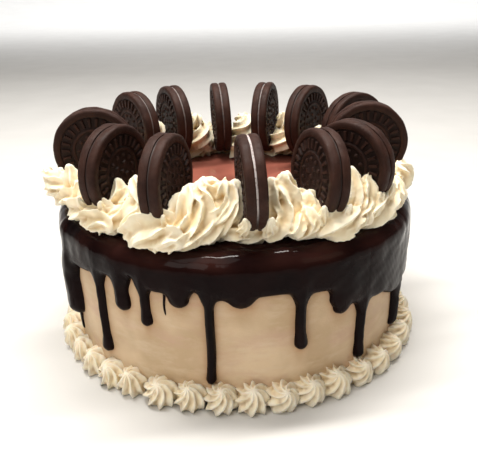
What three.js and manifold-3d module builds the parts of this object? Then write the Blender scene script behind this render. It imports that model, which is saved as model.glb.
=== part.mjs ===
// Cookies and cream drip cake.
//
// A 7 inch round cake in buttercream, 3 inches tall, with a dark chocolate glaze that runs down its
// wall in drips, a border of piped stars round its foot, and a ring of 13 sandwich biscuits that
// stand on edge on the glaze, with a mound of piped cream in each gap between them.
//
// Millimetres, +Z up. The origin is the middle of the flat base. Azimuths are in degrees from +X,
// counted anticlockwise seen from above, and the front of the cake faces -Y.

import * as THREE from 'three';
import { mergeVertices } from 'three/addons/utils/BufferGeometryUtils.js';
import Module from 'manifold-3d';

const manifoldLibrary = await Module();
manifoldLibrary.setup();

// ---------------------------------------------------------------- driving dimensions

const GAP = 0.3; // clearance between pieces that touch

const CAKE = { baseRadius: 87.5, topRadius: 89, height: 73.1, edge: 1.2, segments: 48 };

const UNDER_FLOOR = 1; // how far a tool body reaches below the flat base

const GLAZE = {
  topThickness: 2, // over the flat top, above the gap
  radius: 92.2, // outside of the skirt
  shoulder: 4.6, // rounding between the top and the skirt
  shoulderSteps: 3,
  lip: 1.6, // rounding of the skirt's lower edge
  coreHeight: 60, // of the disc's underside on the axis, within the room of the cake
  segments: 54,
};

// Height of the arches between the drips, as [azimuth, height].
const SKIRT_EDGE = [
  [12, 47], [25, 55], [51, 58], [64, 54], [90, 55], [117, 59], [143, 56], [170, 57], [183, 52],
  [198, 50], [219, 54.5], [233, 58], [242, 61], [249.4, 56], [260.5, 58.5], [267, 54.5],
  [282, 56], [295, 54], [306.4, 43], [318, 41], [328, 36], [346, 37],
];

// Every drip: where it runs, half its width, the height of its tip, how far it stands off the wall,
// and how wide its tip is for its width.
const DRIPS = [
  { azimuth: 208, half: 7.2, tip: 24, stand: 6.4, bulb: 1.05 },
  { azimuth: 228.2, half: 2.7, tip: 15.4, stand: 3, bulb: 1.5 },
  { azimuth: 237.2, half: 4.9, tip: 43.4, stand: 3.4, bulb: 1 },
  { azimuth: 245.3, half: 2.7, tip: 38.8, stand: 3.2, bulb: 1.1 },
  { azimuth: 250.7, half: 0.8, tip: 44.6, stand: 1, bulb: 1 },
  { azimuth: 255.3, half: 4.9, tip: 49.7, stand: 3.2, bulb: 1 },
  { azimuth: 263.8, half: 2.4, tip: 13.5, stand: 2.9, bulb: 1.1 },
  { azimuth: 272.6, half: 6.8, tip: 50.6, stand: 3.2, bulb: 1 },
  { azimuth: 289, half: 2.8, tip: 28, stand: 3.1, bulb: 1.15 },
  { azimuth: 302.2, half: 4.8, tip: 40.4, stand: 3.4, bulb: 1 },
  { azimuth: 310.3, half: 3.2, tip: 12.9, stand: 3.1, bulb: 1.05 },
  { azimuth: 333.6, half: 3.8, tip: 13, stand: 3.3, bulb: 1 },
  { azimuth: 352, half: 3.1, tip: 22, stand: 3, bulb: 1.1 },
  { azimuth: 6, half: 5, tip: 38, stand: 3.4, bulb: 1 },
  { azimuth: 19, half: 2.7, tip: 17, stand: 3, bulb: 1.2 },
  { azimuth: 32, half: 4.6, tip: 43, stand: 3.3, bulb: 1 },
  { azimuth: 44.5, half: 2.6, tip: 30, stand: 3, bulb: 1.15 },
  { azimuth: 58, half: 5.4, tip: 41, stand: 3.4, bulb: 1 },
  { azimuth: 71, half: 2.9, tip: 14, stand: 3.1, bulb: 1.1 },
  { azimuth: 83, half: 4.4, tip: 45, stand: 3.2, bulb: 1 },
  { azimuth: 97, half: 2.7, tip: 25, stand: 3, bulb: 1.2 },
  { azimuth: 110, half: 5.6, tip: 43, stand: 3.4, bulb: 1 },
  { azimuth: 124, half: 2.6, tip: 16, stand: 3, bulb: 1.15 },
  { azimuth: 136, half: 4.2, tip: 38, stand: 3.2, bulb: 1 },
  { azimuth: 150, half: 3, tip: 27, stand: 3.1, bulb: 1.1 },
  { azimuth: 163, half: 5.6, tip: 44, stand: 3.4, bulb: 1 },
  { azimuth: 176, half: 2.7, tip: 19, stand: 3, bulb: 1.15 },
  { azimuth: 190, half: 4, tip: 35, stand: 3.3, bulb: 1 },
];
const DRIP = {
  flare: 2.6, // how far the root spreads on each side
  flareHeight: 7,
  neck: 0.88, // width of the neck, as a share
  neckStand: 0.85,
  flareStand: 0.9,
  neckHeight: 2.2, // of the neck above the tip, in half widths
  tipLevel: 0.25, // of the ring that rounds the tip, in half widths
  tipWidth: 0.7,
  tipStand: 0.75,
  buried: 7, // how far the root runs up under the skirt
  buriedStand: 0.6,
  cap: 1, // height of the closed end under the skirt
  leastStep: 0.2, // between two rings
  segments: 8,
};

const STARS = {
  count: 40,
  ringRadius: 88.2, // middle of each star's foot
  footHeight: 3.4,
  radius: 8.1,
  height: 9.2,
  tilt: 38, // outwards from straight up
  tiltStray: 4,
  spin: 37, // from each star's ridges to the next one's
  ridges: 6,
  ridgeDepth: 0.13,
  uneven: 0.07, // in size, as a share
  stray: 0.5, // along the ring, in degrees
  waves: { size: 2.4, height: 1.7, tilt: 1.3, stray: 3.1 }, // radians from one star to the next
  linkRadius: 92, // outside of the low ridge of cream that the stars share
  linkHeight: 5.5,
};

const BISCUIT = {
  diameter: 44.5,
  wafer: 3.2,
  filling: 2.6,
  fillingInset: 0.9,
  chamfer: 0.8,
  ringRadius: 68.6,
  segments: 14,
};

// The 13 biscuits: azimuth, how much further out and higher than the ring they stand, how far each
// is turned from radial, and how far it leans along the ring.
const BISCUITS = [
  { azimuth: 277.2, out: 0.3, lift: 0, turn: 0.5, lean: -2.4 },
  { azimuth: 303, out: 1.5, lift: 0, turn: -12.5, lean: 4 },
  { azimuth: 321.8, out: -1, lift: 0, turn: -1.3, lean: 0.8 },
  { azimuth: 0.2, out: -1.2, lift: 0, turn: 0.8, lean: 0 },
  { azimuth: 21.8, out: 3, lift: 0, turn: 12, lean: 2.5 },
  { azimuth: 51.4, out: 0, lift: 0, turn: 6, lean: 1.6 },
  { azimuth: 74.5, out: -0.6, lift: 0, turn: 2, lean: 0.4 },
  { azimuth: 98, out: -0.5, lift: 0, turn: 0, lean: 2.2 },
  { azimuth: 122.7, out: 0.8, lift: 0.2, turn: -6.4, lean: 1 },
  { azimuth: 144.8, out: 2.6, lift: 0, turn: -15, lean: -1 },
  { azimuth: 187.3, out: 0.7, lift: 0.7, turn: -0.6, lean: -0.4 },
  { azimuth: 223.2, out: 2.6, lift: 1, turn: 20, lean: 1 },
  { azimuth: 247, out: 1.2, lift: 0, turn: 7.4, lean: -0.6 },
];

// The mounds of cream, each in the gap after the biscuit with the same index: azimuth, distance
// from the cake's axis, half width along the ring and across it, height, turn of its ridges, and
// how far its tip leans outwards.
const MOUNDS = [
  { azimuth: 289.5, ring: 66.5, along: 16.5, across: 13.5, height: 25.5, turn: 10, lean: -2 },
  { azimuth: 312.5, ring: 69.5, along: 14, across: 13.5, height: 22, turn: 50, lean: 0 },
  { azimuth: 341, ring: 72.5, along: 23, across: 14, height: 23, turn: 25, lean: 0 },
  { azimuth: 10.5, ring: 74, along: 14.5, across: 14.5, height: 22, turn: 5, lean: 2 },
  { azimuth: 36, ring: 73, along: 18, across: 14, height: 24, turn: 40, lean: 0 },
  { azimuth: 63, ring: 72, along: 16, across: 14, height: 26, turn: 15, lean: -2 },
  { azimuth: 86.5, ring: 72, along: 15, across: 14, height: 24, turn: 55, lean: 1 },
  { azimuth: 110.5, ring: 72, along: 16, across: 14, height: 25.5, turn: 30, lean: 0 },
  { azimuth: 133.5, ring: 74, along: 15, across: 14.5, height: 23, turn: 0, lean: 2 },
  { azimuth: 166, ring: 75, along: 23, across: 15, height: 22, turn: 45, lean: 3 },
  { azimuth: 205, ring: 77, along: 20, across: 15.5, height: 20, turn: 20, lean: 3 },
  { azimuth: 235.5, ring: 75, along: 16.5, across: 15, height: 24.5, turn: 35, lean: -3 },
  { azimuth: 262, ring: 69, along: 18, across: 14.5, height: 27, turn: 12, lean: -3 },
];

const CREAM = { ridges: 7, ridgeDepth: 0.1, twist: 70 };

// A pointed end of piped cream that pokes out over the edge at the left of the cake.
const CREAM_TAIL = {
  mound: 10, // index of the mound that it belongs to
  azimuth: 191.5,
  inner: 84,
  outer: 101.5,
  height: 85.5,
  radius: 6.2,
  ridges: 5,
  ridgeDepth: 0.12,
};

// Rings of piped shapes of unit size from the foot to the tip: radius, height and turn. The turn is
// in degrees for a star and the tail, and a share of the whole twist for a mound.
const STAR_RINGS = [[0.98, -0.2, 0], [0.78, 0.6, 20]];
const MOUND_RINGS = [[0.9, 0, 0], [1, 0.25, 0.25], [0.82, 0.6, 0.6], [0.44, 0.89, 0.9]];
const TAIL_RINGS = [[0.9, -0.3, 0], [0.95, 0.1, 10], [0.5, 0.6, 20]];

// ---------------------------------------------------------------- materials

function finish(color, roughness) {
  return new THREE.MeshStandardMaterial({ color, roughness, metalness: 0 });
}

const LOOK = {
  wall: () => finish(0xd8bd97, 0.75),
  glaze: () => finish(0x1d0d0b, 0.12),
  star: () => finish(0xefe2c2, 0.6),
  cream: () => finish(0xf7efdc, 0.55),
  wafer: () => finish(0x2c1a18, 0.7),
  filling: () => finish(0xcfc4c4, 0.6),
};

// ---------------------------------------------------------------- small helpers

const MERGE_DISTANCE = 1e-4; // under which two vertices are one

const radians = THREE.MathUtils.degToRad;

function polar(radius, azimuth, z) {
  return new THREE.Vector3(radius * Math.cos(radians(azimuth)), radius * Math.sin(radians(azimuth)), z);
}

// Moves every point of a geometry by a function from point and index to point.
function reshape(geometry, move) {
  const positions = geometry.getAttribute('position');
  const point = new THREE.Vector3();
  for (let index = 0; index < positions.count; index += 1) {
    point.fromBufferAttribute(positions, index);
    const moved = move(point, index);
    positions.setXYZ(index, moved.x, moved.y, moved.z);
  }
  return geometry;
}

// A body of revolution about +Z from [radius, height] pairs that start and end on the axis.
function turned(profile, segments) {
  const points = profile.map(([radius, height]) => new THREE.Vector2(radius, height));
  return new THREE.LatheGeometry(points, segments).rotateX(Math.PI / 2);
}

function toSolid(geometry) {
  const bare = geometry.clone();
  bare.deleteAttribute('normal');
  bare.deleteAttribute('uv');
  const merged = mergeVertices(bare, MERGE_DISTANCE);
  const corners = merged.index.array;
  const kept = [];
  for (let start = 0; start < corners.length; start += 3) {
    const [a, b, c] = [corners[start], corners[start + 1], corners[start + 2]];
    if (a !== b && b !== c && c !== a) kept.push(a, b, c);
  }
  const mesh = new manifoldLibrary.Mesh({
    numProp: 3,
    vertProperties: new Float32Array(merged.getAttribute('position').array),
    triVerts: new Uint32Array(kept),
  });
  return new manifoldLibrary.Manifold(mesh);
}

function toGeometry(solid) {
  const mesh = solid.getMesh();
  const geometry = new THREE.BufferGeometry();
  geometry.setAttribute('position', new THREE.BufferAttribute(mesh.vertProperties, 3));
  geometry.setIndex(new THREE.BufferAttribute(mesh.triVerts, 1));
  geometry.computeVertexNormals();
  return geometry;
}

function largestBody(solid) {
  const bodies = solid.decompose();
  return bodies.reduce((largest, body) => (body.volume() > largest.volume() ? body : largest));
}

function named(name, geometry, material) {
  const mesh = new THREE.Mesh(geometry, material);
  mesh.name = name;
  return mesh;
}

// ---------------------------------------------------------------- cake

function cakeProfile(growth) {
  const { baseRadius, topRadius, height, edge } = CAKE;
  const foot = growth > 0 ? -UNDER_FLOOR : 0;
  return [
    [0, foot],
    [baseRadius - edge + growth, foot],
    [baseRadius + growth, foot + edge],
    [topRadius + growth, height - edge + growth],
    [topRadius - edge + growth, height + growth],
    [0, height + growth],
  ];
}

function makeCake() {
  return named('cake', turned(cakeProfile(0), CAKE.segments), LOOK.wall());
}

const cakeSpace = toSolid(turned(cakeProfile(GAP), CAKE.segments));
const wallRadius = (z) => THREE.MathUtils.lerp(CAKE.baseRadius, CAKE.topRadius, z / CAKE.height);
const glazeTop = CAKE.height + GAP + GLAZE.topThickness;

// ---------------------------------------------------------------- glaze

// Height of the skirt's lower edge, eased from one arch to the next.
function skirtEdge(azimuth) {
  const angle = THREE.MathUtils.euclideanModulo(azimuth, 360);
  const next = SKIRT_EDGE.findIndex(([arch]) => arch > angle);
  const after = next < 0 ? 0 : next;
  const before = (after + SKIRT_EDGE.length - 1) % SKIRT_EDGE.length;
  const span = THREE.MathUtils.euclideanModulo(SKIRT_EDGE[after][0] - SKIRT_EDGE[before][0], 360);
  const along = THREE.MathUtils.euclideanModulo(angle - SKIRT_EDGE[before][0], 360) / span;
  const eased = (1 - Math.cos(Math.PI * along)) / 2;
  return THREE.MathUtils.lerp(SKIRT_EDGE[before][1], SKIRT_EDGE[after][1], eased);
}

// The top and the skirt as a filled disc, with its lower edge at the height of the arches.
function glazeDisc() {
  const { radius, shoulder, shoulderSteps, lip, coreHeight, segments } = GLAZE;
  const profile = [[0, coreHeight], [radius - lip, 0], [radius, lip]];
  for (let step = 0; step <= shoulderSteps; step += 1) {
    const angle = (step / shoulderSteps) * (Math.PI / 2);
    profile.push([
      radius - shoulder * (1 - Math.cos(angle)),
      glazeTop - shoulder * (1 - Math.sin(angle)),
    ]);
  }
  profile.push([0, glazeTop]);
  const disc = turned(profile, segments);
  const edgeRings = [1, 2];
  return reshape(disc, (point, index) => {
    const ring = index % profile.length;
    if (edgeRings.includes(ring)) {
      point.z = profile[ring][1] + skirtEdge(THREE.MathUtils.radToDeg(Math.atan2(point.y, point.x)));
    }
    return point;
  });
}

// One drip: a flared root under the skirt, a narrower neck and a round tip, half sunk in the wall.
function drip({ azimuth, half, tip, stand, bulb }) {
  const root = skirtEdge(azimuth);
  const flareHeight = Math.min(DRIP.flareHeight, (root - tip) / 2);
  const tipHalf = half * bulb;
  const wide = half + Math.min(DRIP.flare, half);
  const neckLevel = Math.max(tip + DRIP.neckHeight * tipHalf, root - 2 * flareHeight);
  const top = root + DRIP.buried;
  const rings = [
    { z: tip, half: 0, stand: 0 },
    { z: tip + DRIP.tipLevel * tipHalf, half: DRIP.tipWidth * tipHalf, stand: DRIP.tipStand * stand },
    { z: tip + tipHalf, half: tipHalf, stand },
    { z: neckLevel, half: half * DRIP.neck, stand: DRIP.neckStand * stand },
    { z: root - flareHeight, half, stand: DRIP.flareStand * stand },
    { z: root, half: wide, stand },
    { z: top, half: wide, stand: DRIP.buriedStand * stand },
    { z: top + DRIP.cap, half: 0, stand: 0 },
  ];
  const apart = (ring, index) => index === 0 || ring.z > rings[index - 1].z + DRIP.leastStep;
  const ordered = rings.filter(apart);
  const shape = turned(ordered.map((ring) => [ring.half, ring.z]), DRIP.segments);
  return reshape(shape, (point, index) => {
    const ring = ordered[index % ordered.length];
    const outward = ring.half > 0 ? (point.y / ring.half) * ring.stand : 0;
    const wall = wallRadius(point.z);
    const around = THREE.MathUtils.radToDeg(point.x / wall);
    return polar(wall + outward, azimuth - around, point.z);
  });
}

function makeGlaze() {
  let glaze = toSolid(glazeDisc());
  for (const entry of DRIPS) {
    glaze = glaze.add(toSolid(drip(entry)));
  }
  const shell = largestBody(glaze.subtract(cakeSpace));
  return named('glaze', toGeometry(shell), LOOK.glaze());
}

// ---------------------------------------------------------------- piped cream

// A ridged dome of unit size: rings of [radius, height, turn in degrees] from the foot to the tip.
function ridged(rings, ridges, depth) {
  const profile = [[0, rings[0][1]], ...rings.map(([radius, height]) => [radius, height]), [0, 1]];
  const dome = turned(profile, ridges * 2);
  return reshape(dome, (point, index) => {
    const ring = rings[(index % profile.length) - 1];
    if (!ring) return point;
    const column = Math.floor(index / profile.length);
    const swell = column % 2 === 0 ? 1 + depth : 1 - depth;
    return point.setX(point.x * swell).setY(point.y * swell)
      .applyAxisAngle(new THREE.Vector3(0, 0, 1), radians(ring[2]));
  });
}

function star(index) {
  const { count, radius, height, ringRadius, footHeight, tilt, uneven, waves } = STARS;
  const size = 1 + uneven * Math.sin(index * waves.size);
  const tall = 1 + uneven * Math.cos(index * waves.height);
  const place = (index + 0.5) * (360 / count) + STARS.stray * Math.sin(index * waves.stray);
  const shape = ridged(STAR_RINGS, STARS.ridges, STARS.ridgeDepth);
  shape.scale(radius * size, radius * size, height * tall);
  shape.rotateZ(radians(index * STARS.spin));
  shape.rotateY(radians(tilt + STARS.tiltStray * Math.sin(index * waves.tilt)));
  shape.translate(ringRadius, 0, footHeight);
  return shape.rotateZ(radians(place));
}

// The low ridge that the stars share where they meet the wall.
function starLink() {
  const { count, linkRadius, linkHeight } = STARS;
  const foot = -UNDER_FLOOR;
  const profile = [[0, foot], [linkRadius, foot], [CAKE.baseRadius, linkHeight], [0, linkHeight]];
  return turned(profile, count);
}

function makeBorder() {
  const { count, ringRadius, radius } = STARS;
  const reach = 2 * (ringRadius + 2 * radius);
  const depth = 2 * radius;
  const underFloor = toSolid(new THREE.BoxGeometry(reach, reach, depth).translate(0, 0, -depth / 2));
  let border = toSolid(starLink());
  for (let index = 0; index < count; index += 1) {
    border = border.add(toSolid(star(index)));
  }
  border = largestBody(border.subtract(underFloor).subtract(cakeSpace));
  return named('star_border', toGeometry(border), LOOK.star());
}

function mound({ azimuth, ring, along, across, height, turn, lean }) {
  const rings = MOUND_RINGS.map(([radius, level, share]) => [radius, level, share * CREAM.twist + turn]);
  const shape = ridged(rings, CREAM.ridges, CREAM.ridgeDepth);
  shape.scale(across, along, height);
  reshape(shape, (point) => point.setX(point.x + lean * (point.z / height) ** 2));
  return shape.translate(ring, 0, glazeTop + GAP).rotateZ(radians(azimuth));
}

// A cone with ridges that runs outwards from the foot of a mound over the cake's edge.
function creamTail({ azimuth, inner, outer, height, radius, ridges, ridgeDepth }) {
  const shape = ridged(TAIL_RINGS, ridges, ridgeDepth);
  shape.scale(radius, radius, outer - inner);
  return shape.rotateY(Math.PI / 2).translate(inner, 0, height).rotateZ(radians(azimuth));
}

// ---------------------------------------------------------------- biscuits

// Places a biscuit's group: local X points outwards, Y along the ring and Z up.
function biscuitStand({ azimuth, out, lift, turn, lean }) {
  const group = new THREE.Group();
  const height = glazeTop + GAP + BISCUIT.diameter / 2 + lift;
  group.position.copy(polar(BISCUIT.ringRadius + out, azimuth, height));
  group.rotation.set(-radians(lean), 0, radians(azimuth + turn), 'ZYX');
  group.updateMatrixWorld(true);
  return group;
}

// A wafer whose flat inner face lies at the foot of its axis and whose outer rim is chamfered.
function wafer() {
  const { diameter, wafer: thickness, chamfer, segments } = BISCUIT;
  const radius = diameter / 2;
  const profile = [
    [0, 0],
    [radius, 0],
    [radius, thickness - chamfer],
    [radius - chamfer, thickness],
    [0, thickness],
  ];
  return turned(profile, segments).rotateX(-Math.PI / 2);
}

function filling() {
  const { diameter, filling: thickness, fillingInset, segments } = BISCUIT;
  const radius = diameter / 2 - fillingInset;
  const half = thickness / 2 - GAP / 2;
  return turned([[0, -half], [radius, -half], [radius, half], [0, half]], segments).rotateX(-Math.PI / 2);
}

function makeBiscuit(entry, index) {
  const group = biscuitStand(entry);
  const label = String(index + 1).padStart(2, '0');
  const offset = BISCUIT.filling / 2 + GAP / 2;
  const right = named(`biscuit_${label}_wafer_right`, wafer(), LOOK.wafer());
  right.position.y = offset;
  const left = named(`biscuit_${label}_wafer_left`, wafer(), LOOK.wafer());
  left.position.y = -offset;
  left.rotation.x = Math.PI;
  const middle = named(`biscuit_${label}_filling`, filling(), LOOK.filling());
  group.add(right, left, middle);
  return group;
}

// The room that one biscuit takes, with clearance, as a round slab.
function biscuitSpace(entry) {
  const radius = BISCUIT.diameter / 2 + GAP;
  const half = BISCUIT.wafer + BISCUIT.filling / 2 + 2 * GAP;
  const slab = turned([[0, -half], [radius, -half], [radius, half], [0, half]], BISCUIT.segments);
  slab.rotateX(-Math.PI / 2);
  return toSolid(slab.applyMatrix4(biscuitStand(entry).matrixWorld));
}

// Everything beyond a biscuit's middle plane, on the side that its azimuth grows to or away from.
function beyondBiscuit(entry, side) {
  const size = 3 * BISCUIT.diameter;
  const thickness = size / 2;
  const block = new THREE.BoxGeometry(size, thickness, size);
  block.translate(0, side * (thickness / 2 - GAP / 2), 0);
  return toSolid(block.applyMatrix4(biscuitStand(entry).matrixWorld));
}

function makeMound(entry, index) {
  const before = BISCUITS[index];
  const after = BISCUITS[(index + 1) % BISCUITS.length];
  let cream = toSolid(mound(entry));
  if (index === CREAM_TAIL.mound) {
    cream = cream.add(toSolid(creamTail(CREAM_TAIL)));
  }
  cream = cream.subtract(beyondBiscuit(before, -1)).subtract(beyondBiscuit(after, 1));
  cream = cream.subtract(biscuitSpace(before)).subtract(biscuitSpace(after));
  const label = String(index + 1).padStart(2, '0');
  return named(`cream_mound_${label}`, toGeometry(largestBody(cream)), LOOK.cream());
}

// ---------------------------------------------------------------- assembly

const cake = new THREE.Group();
cake.add(makeCake(), makeGlaze(), makeBorder());
BISCUITS.forEach((entry, index) => cake.add(makeBiscuit(entry, index)));
MOUNDS.forEach((entry, index) => cake.add(makeMound(entry, index)));

export default cake;
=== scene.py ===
"""Cookies and cream drip cake: its finished look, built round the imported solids.

Tables of sizes are in millimetres, with azimuths in degrees from +X, anticlockwise seen from above.
Meshes are made in millimetres and scaled to metres when they are finished.
"""

import math

import bmesh
import bpy
import numpy as np
from mathutils import Matrix, Vector


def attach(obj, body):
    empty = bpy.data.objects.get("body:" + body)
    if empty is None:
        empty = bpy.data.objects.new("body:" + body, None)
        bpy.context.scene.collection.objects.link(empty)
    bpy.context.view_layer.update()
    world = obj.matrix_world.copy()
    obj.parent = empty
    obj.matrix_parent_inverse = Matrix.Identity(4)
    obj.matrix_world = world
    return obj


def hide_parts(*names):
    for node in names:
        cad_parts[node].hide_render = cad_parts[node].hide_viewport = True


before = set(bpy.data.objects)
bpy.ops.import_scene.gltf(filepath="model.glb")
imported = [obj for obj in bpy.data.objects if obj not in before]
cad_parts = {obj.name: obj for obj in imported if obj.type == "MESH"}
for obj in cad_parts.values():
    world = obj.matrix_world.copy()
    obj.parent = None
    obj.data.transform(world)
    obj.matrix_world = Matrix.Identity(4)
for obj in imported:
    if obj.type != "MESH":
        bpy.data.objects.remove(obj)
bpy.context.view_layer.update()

MM = 0.001

# Vertices closer than this, in millimetres, become one.
WELD = 1e-4

# ---------------------------------------------------------------- sizes of the cake

WALL = {"base": 87.5, "top": 89.0, "height": 73.1, "edge": 1.2}
GLAZE_TOP = 75.4
SHOULDER = 8.5
CREAM_FLOOR = GLAZE_TOP + 0.1

# Length of one degree along the wall.
ARC = math.radians(1) * WALL["top"]

# Height of the arches between the drips, as (azimuth, height).
SKIRT_EDGE = np.array([
    (12, 47), (25, 55), (51, 58), (64, 54), (90, 55), (117, 59), (143, 56), (170, 57), (183, 52),
    (198, 50), (218, 54.5), (232, 58), (241.4, 61), (249, 56), (260.3, 58.5), (267, 54.5),
    (282.3, 56), (295.8, 54), (307.6, 43), (319.2, 41), (329, 36), (346, 37),
])

# Every drip: azimuth, half width, height of its tip, how far it stands off the wall, tip's bulge.
DRIPS = [
    (207.5, 7.0, 24, 5.0, 1.05), (226.9, 2.6, 15.4, 2.8, 1.4), (236.3, 4.4, 42.4, 3.2, 1),
    (244.7, 2.6, 37.8, 3.0, 1.1), (255.1, 4.9, 49.7, 3.2, 1), (263.7, 2.4, 12.0, 2.9, 1.0),
    (272.6, 6.8, 50.6, 3.2, 1), (289.6, 2.8, 27, 3.0, 1.15), (303.2, 4.6, 39.8, 3.2, 1),
    (311.5, 3.0, 11.6, 3.0, 1.05), (334.4, 3.6, 13, 3.1, 1), (352, 3.1, 22, 3, 1.1),
    (6, 5, 38, 3.4, 1), (19, 2.7, 17, 3, 1.2), (32, 4.6, 43, 3.3, 1), (44.5, 2.6, 30, 3, 1.15),
    (58, 5.4, 41, 3.4, 1), (71, 2.9, 14, 3.1, 1.1), (83, 4.4, 45, 3.2, 1), (97, 2.7, 25, 3, 1.2),
    (110, 5.6, 43, 3.4, 1), (124, 2.6, 16, 3, 1.15), (136, 4.2, 38, 3.2, 1),
    (150, 3, 27, 3.1, 1.1), (163, 5.6, 44, 3.4, 1), (176, 2.7, 19, 3, 1.15), (190, 4, 35, 3.3, 1),
]

# Thin trickles too fine for the sheet of glaze: azimuth, top, tip, half width at each end.
TRICKLES = [(250.7, 58, 44.6, 0.8, 0.45), (207.2, 27, 13.5, 2.0, 1.1)]

BISCUIT = {"radius": 20.75, "wafer": 3.2, "filling": 2.6, "gap": 0.3, "ring": 68.6, "stand": 3.3}
BISCUIT_HALF = BISCUIT["filling"] / 2 + BISCUIT["gap"] / 2 + BISCUIT["wafer"]

# The biscuits: azimuth, further out than the ring, lift, turn from radial, lean along the ring.
BISCUITS = [
    (277.2, 0.3, 0, 0.5, -2.4), (303, 2.1, 0, -12.5, 4), (321.8, 0.7, 0, -1.3, 0.8),
    (0.2, 0.4, 0, 0.8, 0), (21.8, 3, 0, 12, 2.5), (51.4, 0, 0, 6, 1.6), (74.5, -0.6, 0, 2, 0.4),
    (98, -0.5, 0, 0, 2.2), (122.7, 0.8, 0.2, -6.4, 1), (144.8, 2.6, 0, -15, -1),
    (187.3, 2.2, 0.7, -0.6, -0.4), (223.2, 3.3, 1, 20, 1), (247, 1.5, 0, 7.4, -0.6),
]

# ---------------------------------------------------------------- camera, light and table

CAMERA = {"place": (8.75, -327.15, 181.68), "pitch": 22.5, "yaw": -1.22, "roll": -1.2}
CAMERA_LENS = 48.2
CAMERA_CLIP = (0.01, 10)

# Each lamp: place, width and depth in metres, power in watts, colour. All aim at the cake but the
# last, which lights the far end of the table.
CAKE_MIDDLE = (0, 0, 0.07)
LAMPS = {
    "overhead": ((-0.03, 0.12, 1.0), (0.80, 0.09), 15.5, (1.0, 0.96, 0.90)),
    "above": ((-0.30, -0.30, 1.15), (0.7, 0.7), 4.6, (1.0, 0.96, 0.90)),
    "overhead_left": ((-0.67, 0.42, 0.80), (0.07, 0.07), 1.1, (1.0, 0.95, 0.88)),
    "overhead_right": ((0.40, 0.22, 1.0), (0.06, 0.06), 0.8, (1.0, 0.95, 0.88)),
    "front_left": ((-0.55, -0.85, 0.75), (0.6, 0.6), 4.4, (1.0, 0.96, 0.90)),
    "front_right": ((0.75, -0.55, 0.55), (0.4, 0.4), 0.5, (1.0, 0.84, 0.62)),
    "behind": ((0.3, 1.0, 0.9), (0.8, 0.8), 1.0, (1.0, 0.97, 0.95)),
    "backdrop": ((0, 2.0, 1.5), (3.2, 0.4), 84.0, (1.0, 1.0, 1.0)),
}
LAMP_AIMS = {"backdrop": (0, 3.8, 0.3)}
ROOM_LIGHT = {"color": (1.0, 0.985, 0.96), "strength": 0.20}

scene = bpy.context.scene


def put_object(name, data):
    thing = bpy.data.objects.new(name, data)
    scene.collection.objects.link(thing)
    return thing


def put_camera():
    pitch, yaw, roll = (math.radians(CAMERA[turn]) for turn in ("pitch", "yaw", "roll"))
    ahead = Vector((math.sin(yaw) * math.cos(pitch), math.cos(yaw) * math.cos(pitch), -math.sin(pitch)))
    right = Vector((math.cos(yaw), -math.sin(yaw), 0))
    up = right.cross(ahead)
    across = right * math.cos(roll) + up * math.sin(roll)
    upright = up * math.cos(roll) - right * math.sin(roll)
    data = bpy.data.cameras.new("camera")
    data.lens = CAMERA_LENS
    data.clip_start, data.clip_end = CAMERA_CLIP
    camera = put_object("camera", data)
    turn = Matrix((across, upright, -ahead)).transposed()
    camera.matrix_world = Matrix.Translation(Vector(CAMERA["place"]) * MM) @ turn.to_4x4()
    scene.camera = camera


def put_lamp(name, place, size, power, color):
    data = bpy.data.lights.new(name, "AREA")
    data.shape = "RECTANGLE"
    data.size, data.size_y = size
    data.energy = power
    data.color = color
    lamp = put_object(name, data)
    aim = LAMP_AIMS.get(name, CAKE_MIDDLE)
    lamp.location = place
    lamp.rotation_euler = (Vector(aim) - Vector(place)).to_track_quat("-Z", "Y").to_euler()


def light_the_table():
    for name, lamp in LAMPS.items():
        put_lamp(name, *lamp)
    world = bpy.data.worlds.new("room")
    world.use_nodes = True
    background = world.node_tree.nodes["Background"]
    background.inputs["Color"].default_value = (*ROOM_LIGHT["color"], 1)
    background.inputs["Strength"].default_value = ROOM_LIGHT["strength"]
    scene.world = world
    scene.view_settings.view_transform = "Standard"


# ---------------------------------------------------------------- mesh helpers

def smoothstep(low, high, value):
    share = np.clip((value - low) / (high - low), 0, 1)
    return share * share * (3 - 2 * share)


def polar(radius, azimuth, height):
    """Points on a cylinder about the cake's axis, azimuth in degrees."""
    turn = np.radians(azimuth)
    return np.stack([radius * np.cos(turn), radius * np.sin(turn), height], axis=-1)


def azimuth_of(points):
    return np.degrees(np.arctan2(points[:, 1], points[:, 0])) % 360


def along_wall(azimuth, place):
    """How far an azimuth is past a place on the wall, in millimetres along it."""
    return ((azimuth - place + 180) % 360 - 180) * ARC


def ripples(points, length, seed, count=7):
    """Smooth unevenness between about -1 and 1 at each point, with waves of about that length."""
    draw = np.random.RandomState(seed)
    total = np.zeros(len(points))
    for _ in range(count):
        direction = draw.normal(size=3)
        direction *= 2 * math.pi / (length * draw.uniform(0.7, 1.5)) / np.linalg.norm(direction)
        total += np.sin(points @ direction + draw.uniform(0, 2 * math.pi))
    return total / math.sqrt(count)


def waves(points, parts):
    """A sum of ripples, each given as (height, length, seed)."""
    return sum(height * ripples(points, length, seed) for height, length, seed in parts)


def points_of(verts):
    return np.array([vert.co for vert in verts])


def move_to(verts, points):
    for vert, point in zip(verts, points):
        vert.co = point


def through(matrix, points):
    """Points put through a 4 by 4 matrix."""
    matrix = np.array(matrix)
    return points @ matrix[:3, :3].T + matrix[:3, 3]


def rotation(axis, degrees):
    return Matrix.Rotation(math.radians(degrees), 4, axis)


def coordinates(mesh):
    flat = np.empty(len(mesh.vertices) * 3)
    mesh.vertices.foreach_get("co", flat)
    return flat.reshape(-1, 3)


def set_coordinates(mesh, points):
    mesh.vertices.foreach_set("co", np.ascontiguousarray(points, dtype=np.float32).ravel())
    mesh.update()


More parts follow.
